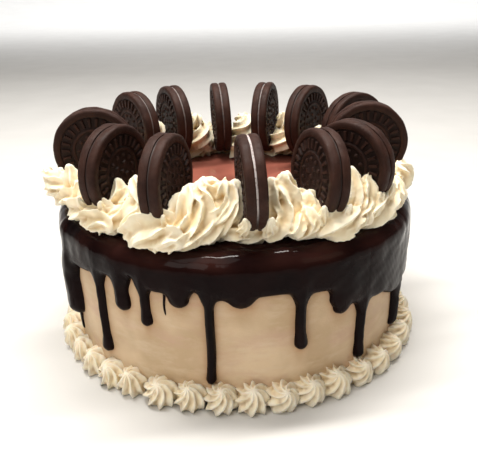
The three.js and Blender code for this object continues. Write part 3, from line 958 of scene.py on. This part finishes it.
def stand_biscuits():
    cocoa = baked_cocoa()
    vanilla = vanilla_filling()
    wafer = wafer_template()
    offset = (BISCUIT["filling"] + BISCUIT["gap"]) / 2
    for index, entry in enumerate(BISCUITS):
        draw = np.random.RandomState(40 + index)
        biscuit = f"biscuit_{index + 1:02d}"
        for side, aside, half_turn in (("right", offset, -90), ("left", -offset, 90)):
            upright = Matrix.Translation((0, aside, 0)) @ rotation("X", half_turn)
            upright = upright @ rotation("Z", draw.uniform(0, 360))
            bm = wafer.copy()
            wobble_wafer(bm, draw)
            bmesh.ops.transform(bm, matrix=biscuit_place(entry) @ upright, verts=bm.verts)
            name = f"{biscuit}_{side}"
            node = f"{biscuit}_wafer_{side}"
            piece = add_piece(name, mesh_from(name, bm), cocoa, "cocoa_wafer", node)
            mark_wear_and_highlight(piece.data, entry)
            piece.data.set_sharp_from_angle(angle=WAFER_SHARP)
        unshaded_filling, sunk = UNSHADED_FILLING.get(index + 1, SHADED_FILLING)
        bm = filling_template(sunk)
        bmesh.ops.transform(bm, matrix=biscuit_place(entry) @ rotation("X", -90), verts=bm.verts)
        name = f"{biscuit}_cream"
        piece = add_piece(name, mesh_from(name, bm), vanilla, "biscuit_filling", f"{biscuit}_filling")
        height = coordinates(piece.data)[:, 2] / MM - GLAZE_TOP
        # Painted shade: the filling is darker towards the bottom of its seam.
        add_attribute(piece.data, "unshaded_filling", unshaded_filling * smoothstep(10, 22, height))
    wafer.free()


def wobble_wafer(bm, draw):
    """Makes a wafer a little uneven at its rim, as baked."""
    points = points_of(bm.verts)
    seed = draw.randint(0, 10000)
    radius = np.hypot(points[:, 0], points[:, 1])
    swell = WAFER_WOBBLE * ripples(points, 7, seed) * smoothstep(15.5, 20.5, radius)
    scale = 1 + swell / np.maximum(radius, 1)
    for vert, factor in zip(bm.verts, scale):
        vert.co.x *= factor
        vert.co.y *= factor


def mark_wear_and_highlight(mesh, entry):
    """Attribute 'rim', for wear and painted highlight: 1 on a wafer's outer edge, less on its moulded
    relief, 0 on the field below it.
    """
    local = through(biscuit_place(entry).inverted(), coordinates(mesh) / MM)
    radius = np.hypot(local[:, 0], local[:, 2])
    level = np.abs(local[:, 1]) - (BISCUIT["filling"] + BISCUIT["gap"]) / 2
    relief = 0.75 * smoothstep(FIELD_LEVEL + 0.15, FIELD_LEVEL + 0.5, level)
    add_attribute(mesh, "rim", np.maximum(smoothstep(17.0, 20.3, radius), relief))


# ---------------------------------------------------------------- whipped cream

# The big swirls, one or two to a gap: gap (counted from the biscuit before it), azimuth, distance
# from the axis, height, radius of the coil across and along the ring, bead radius, start angle,
# turns, lean outwards, lean along the ring.
SWIRLS = [
    (0, 287, 67.5, 28, 8.5, 5, 7.8, 200, 1.9, -1, 0),
    (0, 294.5, 71.5, 22.5, 8, 5, 7.4, 80, 1.6, 1, 1),
    (1, 312.8, 71, 24, 9, 4, 7.4, 20, 1.7, 2, 1),
    (2, 332, 71.5, 25, 9, 6.5, 8.2, 300, 1.8, 0, -2),
    (2, 347, 71.5, 25, 9, 6.5, 8.2, 120, 1.8, 0, 2),
    (3, 11, 71.5, 28, 10, 5, 8.4, 60, 1.8, 0, 0),
    (4, 31, 71, 28, 9.5, 5, 8.2, 200, 1.8, 0, 0),
    (4, 41.5, 71, 27, 9.5, 5, 8.2, 20, 1.8, 0, 0),
    (5, 63, 70, 33, 10, 5, 8.8, 320, 1.9, -2, 0),
    (6, 86.5, 70, 28.5, 10, 5, 8.8, 100, 1.9, 0, 0),
    (7, 110.5, 70, 31, 10, 5, 8.8, 240, 1.9, 0, 0),
    (8, 133.5, 71, 29, 10, 4.5, 8.6, 10, 1.8, 1, 0),
    (9, 156.5, 71, 26.5, 9.5, 6, 8.6, 150, 1.8, 1, 0),
    (9, 173.5, 71, 26, 9.5, 6, 8.6, 330, 1.8, 1, 0),
    (10, 197, 73, 21, 9, 6, 8.2, 90, 1.7, 2, 0),
    (10, 212, 73, 19.5, 9, 6, 8, 270, 1.7, 2, 0),
    (11, 231.5, 71, 23, 9.5, 4.5, 7.6, 180, 1.8, 1, -1),
    (11, 237, 73, 26.5, 8, 4.5, 7.2, 30, 1.8, 1, 0),
    (12, 260, 68.5, 30, 8.5, 5.5, 8.4, 230, 1.9, 1, 1),
    (12, 268.4, 70, 30.5, 8, 4, 7.6, 60, 1.9, 1, 0),
]

# Strokes of the rope of cream in front of the swirls, each a bead through its points:
# (azimuth, distance from the axis, height above the glaze, bead radius).
STROKES = [
    # in front of the gap before the front biscuit
    [(243.5, 94, 3, 2), (247.5, 89.5, 5, 5.4), (253, 85, 7, 7.4), (258, 80, 9.5, 7.8),
     (261.5, 75, 15, 8), (261.5, 72, 21.5, 7), (261, 71.5, 27, 3.4)],
    [(239.5, 90, 3.4, 2.4), (244, 86, 6.4, 5.4), (249.5, 83.5, 8.6, 6.6), (254.5, 79.5, 13, 7),
     (256.5, 75, 19, 6.4), (257, 71.5, 24.5, 3.2)],
    [(250, 93, 3, 2.2), (253.5, 89, 4.2, 4.6), (258, 84.5, 5.2, 5.4), (263, 79.5, 6.5, 6),
     (266, 75, 9, 5)],
    [(257, 87.5, 2.6, 2.2), (259, 84, 4.4, 4.4), (261, 80, 7, 5.6), (263.5, 76, 11, 5.4),
     (265, 73.5, 16, 3.2)],
    [(265, 73, 7, 6.4), (267.5, 75.5, 10, 6.6), (270.5, 75, 15, 5.4), (272, 73, 20.5, 4.4),
     (270.5, 71.5, 26.5, 3.6)],
    [(264, 74, 5.4, 5.6), (268.5, 74, 5.4, 6), (273, 76.5, 4.2, 4.8), (276.8, 79.5, 3, 3.4)],
    [(275.5, 82.5, 1.8, 1.6), (277, 84.2, 2, 2.2), (278.6, 83.6, 1.8, 1.6)],
    # in front of the gap on its left
    [(228, 88.5, 3.4, 2), (232.5, 84.5, 6.4, 5.8), (237, 81, 10, 7), (239.8, 77, 16, 6.8),
     (238, 75.5, 22.5, 4.6), (236.8, 75.5, 27, 1.4)],
    [(225, 80, 5, 5.4), (228.5, 80, 11, 6.6), (229.8, 77, 17.5, 5.6), (228.4, 75.5, 23, 1.8)],
    [(221, 90.5, 3.4, 2), (226, 86.5, 5.6, 5.6), (231.5, 84, 8.5, 6.2), (236, 82, 10.5, 4.6),
     (238.5, 81, 12, 2)],
    # the rope on the left and its two ends past the edge
    [(229, 82.5, 3.4, 2.4), (225, 85, 6, 6.6), (218, 84.5, 7.2, 7.8), (210, 84, 7.6, 7.8),
     (203, 85, 7.4, 7.2), (197, 87.5, 6.6, 6), (192, 90, 6, 3.4)],
    [(208, 80, 9, 6), (201, 85, 10, 7), (195, 91, 12, 5.8), (191, 94.5, 14.5, 4),
     (190.5, 96.4, 18, 2.2)],
    [(206, 82, 10, 5), (204, 84, 17, 4.8), (203, 85, 23, 1.6)],
    [(212, 82, 9, 4.8), (214, 84, 15, 4.4), (214.5, 84.5, 20, 1.6)],
    [(197, 85, 9, 4.6), (195, 88, 14, 4.2), (194, 89, 18.5, 1.6)],
    [(203, 84, 5, 6), (195, 89.5, 4.8, 6), (188, 95, 4.6, 4.6), (184.5, 98.4, 3.8, 2.2)],
    # in front of the gap after the front biscuit
    [(279.8, 80.5, 3.6, 3.4), (283.5, 79, 5.6, 5.4), (287, 78, 9.5, 7), (289.5, 73, 17, 7.2),
     (289.2, 70.5, 24, 5),
     (290.2, 70, 28.6, 1.8)],
    [(284, 74, 9, 6), (284.5, 73, 16, 6.2), (285, 71, 22.5, 5), (286, 70.5, 26, 2.6)],
    [(287, 81, 3.6, 3.4), (290.5, 80, 5.8, 5.2), (294.4, 78, 9.4, 6.8), (296.4, 75.5, 15, 6.2),
     (296, 74, 20, 3.6)],
    [(288.5, 82.5, 3.2, 2.4), (293, 82.2, 5.8, 5.2), (297.4, 82, 10.2, 6), (300.6, 82, 14.4, 4.4),
     (301.8, 81, 17, 1.4)],
    # the rope on the right
    [(295, 80, 5.2, 4.6), (300, 83.4, 6.4, 6), (306, 84.2, 7.2, 7), (312, 83.4, 7.6, 7),
     (317, 81.5, 8, 4.6)],
    [(307, 82, 8, 5.4), (311, 80.5, 14.5, 6.2), (313, 78, 21, 5), (314.4, 76.5, 27, 1.6)],
    [(308, 80, 9, 5), (308.6, 78, 15, 4.6), (309.5, 76.5, 20.5, 1.6)],
    [(311, 84, 8, 5), (315.4, 82.5, 13.5, 5.8), (318, 81.5, 19.5, 4), (319.2, 81.5, 24, 1.4)],
    [(315.5, 85, 7, 5), (320, 84.5, 12, 5.4), (323.5, 84.5, 16, 3.6), (325.5, 85, 19, 1.3)],
    [(316, 81.5, 6, 5.2), (321, 83, 6.6, 7), (327, 83.4, 7.4, 7.6), (333, 83, 7.6, 7.2),
     (340, 82, 6.6, 5.8),
     (345, 81, 5, 3)],
    [(322, 87, 3.6, 2.4), (327, 86, 6.4, 5), (331, 84, 11, 4.8), (333.5, 83, 15.5, 1.4)],
    [(329, 88, 3.4, 2.2), (334, 86.5, 6.4, 4.8), (338, 84.5, 10.5, 4.6), (340.5, 84, 14.5, 1.4)],
    [(336, 82, 6, 4.8), (340, 84, 6.4, 4.4), (343.6, 85, 8, 5.2), (345.4, 86, 11, 6.2),
     (345.8, 85.8, 14.4, 6),
     (345.4, 85, 17.2, 4.2), (345, 84.4, 18.6, 2)],
    [(346, 80, 4.4, 4.6), (351, 83.4, 5.2, 5.6), (356, 84.4, 4.4, 4)],
]

# Round the sides and the back the rope is a row of like strokes, each over the tail of the last.
ROPE = {"first": 351.0, "last": 544.0, "step": 11.6, "radius": 6.4}


def rope_strokes():
    draw = np.random.RandomState(77)
    strokes = []
    azimuth = ROPE["first"]
    while azimuth < ROPE["last"]:
        length = ROPE["step"] * draw.uniform(1.35, 1.65)
        bead = ROPE["radius"] * draw.uniform(0.88, 1.12)
        out = draw.uniform(81.5, 84.5)
        lift = draw.uniform(5.0, 8.0)
        strokes.append([
            (azimuth, out - 5, 4.0, bead * 0.5), (azimuth + 0.28 * length, out, lift, bead),
            (azimuth + 0.62 * length, out + 1.4, lift * 0.8, bead * 0.82),
            (azimuth + length, out + draw.uniform(1, 4.5), 2.6, 1.4),
        ])
        azimuth += ROPE["step"] * draw.uniform(0.85, 1.15)
    return strokes


# The bed of cream that holds the foot of each biscuit: azimuth, how far it goes each way along
# the ring, distance from the axis, height above the glaze, bead radius.
FEET = [
    (277.4, 4.6, 75.4, 4.6, 6.4), (303.5, 6.5, 84.6, 7.8, 9.8), (322, 7.5, 83.6, 6.4, 9.4),
    (0.5, 8, 83, 6, 9), (22, 8, 83, 6, 9), (51, 8, 82.5, 6, 9),
    (74.5, 8, 82.5, 6, 9), (98, 8, 82.5, 6, 9), (123, 8, 82.5, 6, 9),
    (146, 8, 82.5, 6, 9), (187, 8, 84, 5.6, 8.6), (223, 9, 85.6, 9.2, 10.2),
    (247.6, 7.5, 85.4, 6.8, 10.4),
]

# Short curls that stand out of the outer face of the cream, all round but for the stretches in BARE.
CURLS = {"first": 184, "last": 540, "step": 3.9, "bead": 4.6}
BARE = [(259, 288), (341, 353)]

# The cream's inner edge, round the feet of the biscuits.
INNER_ROPE = {"first": 5.0, "last": 176.0, "step": 10.5, "ring": 73.5, "bead": 7.4}


def curl_strokes():
    draw = np.random.RandomState(31)
    strokes = []
    azimuth = CURLS["first"]
    while azimuth < CURLS["last"]:
        for start, end in BARE:
            if start < azimuth < end:
                azimuth = end
        foot = draw.uniform(82.5, 87.0)
        low = draw.uniform(2.0, 8.0)
        tall = draw.uniform(6.0, 10.0)
        sway = draw.choice((-1, 1)) * draw.uniform(1.5, 4.0)
        bead = CURLS["bead"] * draw.uniform(0.75, 1.15)
        strokes.append([
            (azimuth, foot - 3, low, bead * 0.6), (azimuth + 0.4 * sway, foot, low + 0.3 * tall, bead),
            (azimuth + 0.9 * sway, foot - 2.6, low + 0.75 * tall, bead * 0.8),
            (azimuth + 1.2 * sway, foot - 3.4, low + tall, 0.7),
        ])
        azimuth += CURLS["step"] * draw.uniform(0.7, 1.3)
    return strokes


def inner_strokes():
    draw = np.random.RandomState(59)
    strokes = []
    azimuth = INNER_ROPE["first"]
    while azimuth < INNER_ROPE["last"]:
        ring = INNER_ROPE["ring"] + draw.uniform(-2.0, 2.5)
        bead = INNER_ROPE["bead"] * draw.uniform(0.8, 1.15)
        lift = draw.uniform(3.6, 6.0)
        strokes.append([
            (azimuth, ring + 5, 5.0, bead * 0.7), (azimuth + 4, ring, lift, bead),
            (azimuth + 9, ring - 0.6, lift * 0.8, bead * 0.9), (azimuth + 14, ring + 2, 2.6, bead * 0.4),
        ])
        azimuth += INNER_ROPE["step"] * draw.uniform(0.85, 1.15)
    return strokes


def foot_strokes():
    draw = np.random.RandomState(83)
    strokes = []
    for azimuth, reach, out, lift, bead in FEET:
        start = azimuth - reach
        sway = draw.uniform(-1.0, 1.0, 3)
        strokes.append([
            (start - 2, out - 4 + sway[0], lift * 0.7, bead * 0.6),
            (start + 0.5 * reach, out + 0.4 * sway[1], lift, bead * 0.95),
            (start + 1.4 * reach, out + 0.3 * sway[2], lift, bead),
            (start + 2 * reach, out + 1.5, lift * 0.75, bead * 0.7),
            (start + 2.3 * reach, out + 4, lift * 0.5, bead * 0.25),
        ])
    return strokes


# A petal of cream laps each outer corner of a biscuit's foot. Its path in the biscuit's own frame:
# degrees below the middle, distance past the rim, distance beside the face, bead radius.
CUFF = [(60, -0.6, 1.3, 2.8), (46, 0.2, 0.9, 3.2), (32, 0.4, 0.7, 2.5), (20, 0.2, 1.2, 1.0)]


def cuff_strokes():
    draw = np.random.RandomState(97)
    strokes = []
    for entry in BISCUITS:
        for side in (-1, 1):
            lower = draw.uniform(-5, 4)
            stroke = []
            for below, beyond, beside, bead in CUFF:
                angle = math.radians(below + lower)
                reach = BISCUIT["radius"] + beyond
                aside = side * (BISCUIT_HALF + beside)
                corner = Vector((reach * math.cos(angle), aside, -reach * math.sin(angle)))
                point = biscuit_place(entry) @ corner
                azimuth = math.degrees(math.atan2(point.y, point.x)) - entry[0]
                azimuth = entry[0] + (azimuth + 180) % 360 - 180
                stroke.append((azimuth, math.hypot(point.x, point.y), point.z - CREAM_FLOOR, bead))
            strokes.append(stroke)
    return strokes


def gap_of(azimuth):
    """The gap between two biscuits that an azimuth falls in."""
    return int(np.argmin([(azimuth - entry[0]) % 360 for entry in BISCUITS]))


def spline(points, count):
    """Points along a smooth curve through the given rows, by Catmull and Rom's rule."""
    rows = np.array(points, float)
    rows = np.vstack([2 * rows[0] - rows[1], rows, 2 * rows[-1] - rows[-2]])
    t = np.linspace(0, len(points) - 1 - 1e-9, count)
    index = t.astype(int)
    t = (t - index)[:, None]
    a, b, c, d = rows[index], rows[index + 1], rows[index + 2], rows[index + 3]
    return 0.5 * (2 * b + (c - a) * t + (2 * a - 5 * b + 4 * c - d) * t ** 2
                  + (3 * b - a - 3 * c + d) * t ** 3)


def star_bead(bm, path, widths, lobes, depth, twist, start, columns):
    """A bead of cream with pointed ridges, piped along a path of points in millimetres."""
    count = len(path)
    tangent = np.gradient(path, axis=0)
    tangent /= np.linalg.norm(tangent, axis=1)[:, None]
    side = np.cross(tangent[0], (0.13, 0.21, 1.0))
    sides = []
    for direction in tangent:
        side = side - direction * np.dot(side, direction)
        side = side / np.linalg.norm(side)
        sides.append(side)
    sides = np.array(sides)
    other = np.cross(tangent, sides)

    def place(u, v):
        station = np.clip(np.rint(v * (count - 1)).astype(int), 0, count - 1)
        angle = u * 2 * math.pi
        radius = widths[station] * lobed(angle, lobes, depth)
        turn = angle + start + twist * v
        return (path[station] + sides[station] * (radius * np.cos(turn))[:, None]
                + other[station] * (radius * np.sin(turn))[:, None])

    return bent_grid(bm, lobes * columns, count - 1, place)


# How far pressed cream sinks into a biscuit's face.
PRESS_SINK = 0.35

# Strokes that run further than this along the ring, in degrees, twist like rope, radians a millimetre.
ROPE_SPAN = 8.0
ROPE_TWIST = 0.085

# Ridges of a bead, and how deep the grooves between them are, as a share of its radius.
SWIRL_LOBES = 7
SWIRL_DEPTH = 0.40
STROKE_DEPTH = 0.48

# How a bead narrows at its start and its end: share of its length, least width, power.
SWIRL_ENDS = ((0.05, 0.15, 0.5), (0.10, 0.1, 0.6))
STROKE_ENDS = ((0.05, 0.3, 0.5), (0.05, 0.3, 0.5))
BEAD_UNEVEN = 0.07


def press(verts, gap, own_side):
    """Presses cream against the biscuits at a gap's ends: all to its own side, or to the nearer."""
    points = points_of(verts)
    face = BISCUIT_HALF - PRESS_SINK
    for which, sign in ((gap, 1), ((gap + 1) % len(BISCUITS), -1)):
        forward = np.array(biscuit_place(BISCUITS[which]))
        local = through(np.linalg.inv(forward), points)
        within = np.hypot(local[:, 0], local[:, 2]) < BISCUIT["radius"]
        if own_side:
            inside = within & (sign * local[:, 1] < face)
            local[inside, 1] = sign * face
        else:
            inside = within & (np.abs(local[:, 1]) < face)
            nearer = np.where(sign * local[:, 1] > -0.3 * face, sign, -sign)
            local[inside, 1] = (nearer * face)[inside]
        points = through(forward, local)
    move_to(verts, points)


def shaken(points, length, draw):
    """Three draws of ripples, one for each direction."""
    return np.stack([ripples(points, length, draw.randint(9999)) for _ in range(3)], axis=-1)


def narrowed(t, ends):
    (first, least, power), (last, last_least, last_power) = ends
    return (np.clip(t / first, least, 1) ** power
            * np.clip((1 - t) / last, last_least, 1) ** last_power)


def pipe_swirl(bm, swirl, draw):
    """A coil of cream that climbs to a point, with a little lean."""
    gap, azimuth, ring, height, across, along, bead, start, turns, lean_out, lean_along = swirl
    t = np.linspace(0, 1, int(34 * turns))
    angle = math.radians(start) + turns * 2 * math.pi * t
    shrink = (1 - t) ** 0.7
    rise = bead * 0.5 + (height - bead * 1.1) * t ** 1.05
    x = across * shrink * np.cos(angle) + lean_out * t * t
    y = along * shrink * np.sin(angle) + lean_along * t * t
    local = np.stack([x, y, rise], axis=-1)
    local += 0.6 * shaken(local, 13, draw)
    turn = math.radians(azimuth)
    path = np.empty_like(local)
    path[:, 0] = (ring + local[:, 0]) * math.cos(turn) - local[:, 1] * math.sin(turn)
    path[:, 1] = (ring + local[:, 0]) * math.sin(turn) + local[:, 1] * math.cos(turn)
    path[:, 2] = CREAM_FLOOR + local[:, 2]
    width = bead * (1 - 0.36 * t) * narrowed(t, SWIRL_ENDS)
    width *= 1 + BEAD_UNEVEN * ripples(local, 9, draw.randint(9999))
    twist = draw.uniform(-2.2, 2.2)
    made = star_bead(bm, path, width, SWIRL_LOBES, SWIRL_DEPTH, twist, draw.uniform(0, 6), 6)
    press(made, gap, True)


def pipe_stroke(bm, stroke, gap, draw, pressed):
    """A bead along a smooth curve through the rows of a stroke, pressed against the biscuits or not."""
    rows = spline(stroke, 12 * (len(stroke) - 1))
    path = polar(rows[:, 1], rows[:, 0], CREAM_FLOOR + rows[:, 2])
    path += 0.35 * shaken(path, 9, draw)
    t = np.linspace(0, 1, len(rows))
    width = np.maximum(rows[:, 3], 0.5) * narrowed(t, STROKE_ENDS)
    width *= 1 + BEAD_UNEVEN * ripples(path, 8, draw.randint(9999))
    twist = draw.uniform(-1.8, 1.8)
    if abs(stroke[-1][0] - stroke[0][0]) > ROPE_SPAN:
        length = np.linalg.norm(np.diff(path, axis=0), axis=1).sum()
        twist = -ROPE_TWIST * length * draw.uniform(0.8, 1.2)
    lobes = draw.randint(5, 7)
    made = star_bead(bm, path, width, lobes, STROKE_DEPTH, twist, draw.uniform(0, 6), 9)
    if pressed:
        press(made, gap, False)


# Size of the voxels that make one skin of a gap's beads, and the fewest vertices a piece of it has.
VOXEL = 0.45
SMALLEST_ISLAND = 800


def remeshed(bm):
    """One skin over overlapping beads, smoothed a little."""
    mesh = mesh_from("rough", bm)
    rough = put_object("rough", mesh)
    skin = rough.modifiers.new("skin", "REMESH")
    skin.mode = "VOXEL"
    skin.voxel_size = VOXEL
    bpy.context.view_layer.update()
    whole = rough.evaluated_get(bpy.context.evaluated_depsgraph_get())
    made = bpy.data.meshes.new_from_object(whole)
    bpy.data.objects.remove(rough)
    bpy.data.meshes.remove(mesh)
    points = coordinates(made)
    set_coordinates(made, points + 0.5 * (neighbour_mean(made, points, 1) - points))
    return made


def drop_scraps(mesh):
    """Removes the loose scraps of a skin: islands with fewer than SMALLEST_ISLAND vertices."""
    first, second = edge_ends(mesh)
    label = np.arange(len(mesh.vertices))
    settled = False
    while not settled:
        lower = label.copy()
        np.minimum.at(lower, first, label[second])
        np.minimum.at(lower, second, label[first])
        lower = lower[lower]
        settled = (lower == label).all()
        label = lower
    size = np.bincount(label, minlength=len(label))[label]
    bm = bmesh.new()
    bm.from_mesh(mesh)
    scraps = [vert for vert in bm.verts if size[vert.index] < SMALLEST_ISLAND]
    bmesh.ops.delete(bm, geom=scraps, context="VERTS")
    bm.to_mesh(mesh)
    bm.free()


# Dents and torn crests of whipped cream, in millimetres, and how far it may sink into the glaze.
RUFFLE = {"dent": 0.14, "crest_light": 0.13, "sink": 0.6}


def ruffle(mesh, seed):
    """Small unevenness of whipped cream: soft dents and fine torn crests."""
    points = coordinates(mesh)
    normals = vertex_normals(mesh)
    crests = 0.5 - np.abs(ripples(points, 4.5, seed + 2))
    swell = RUFFLE["dent"] * ripples(points, 6.5, seed) + RUFFLE["crest_light"] * crests
    points = points + normals * swell[:, None]
    points[:, 2] = np.maximum(points[:, 2], CREAM_FLOOR - RUFFLE["sink"])
    set_coordinates(mesh, points)


def pipe_mounds():
    """The cream of each gap: its swirls and strokes, melted into one skin."""
    cream = whipped_cream()
    pressed = STROKES + rope_strokes() + inner_strokes() + curl_strokes()
    strokes = pressed + foot_strokes() + cuff_strokes()
    homes = [gap_of(np.mean([row[0] for row in stroke])) for stroke in strokes]
    for gap in range(len(BISCUITS)):
        draw = np.random.RandomState(900 + gap)
        bm = bmesh.new()
        for swirl in SWIRLS:
            if swirl[0] == gap:
                pipe_swirl(bm, swirl, draw)
        for index, (stroke, home) in enumerate(zip(strokes, homes)):
            if home == gap:
                pipe_stroke(bm, stroke, gap, draw, index < len(pressed))
        close_ends(bm)
        mesh = remeshed(bm)
        drop_scraps(mesh)
        ruffle(mesh, 300 + gap)
        name, node = f"cream_swirl_{gap + 1:02d}", f"cream_mound_{gap + 1:02d}"
        piece = add_piece(name, mesh, cream, "whipped_cream", node)
        paint_fold_shade_and_crest_light(piece.data, *CREAM_FOLD_SHADE)


# ---------------------------------------------------------------- the whole cake

put_camera()
light_the_table()
lay_table()
spread_wall()
pour_glaze()
pipe_border()
stand_biscuits()
pipe_mounds()

bpy.context.view_layer.update()
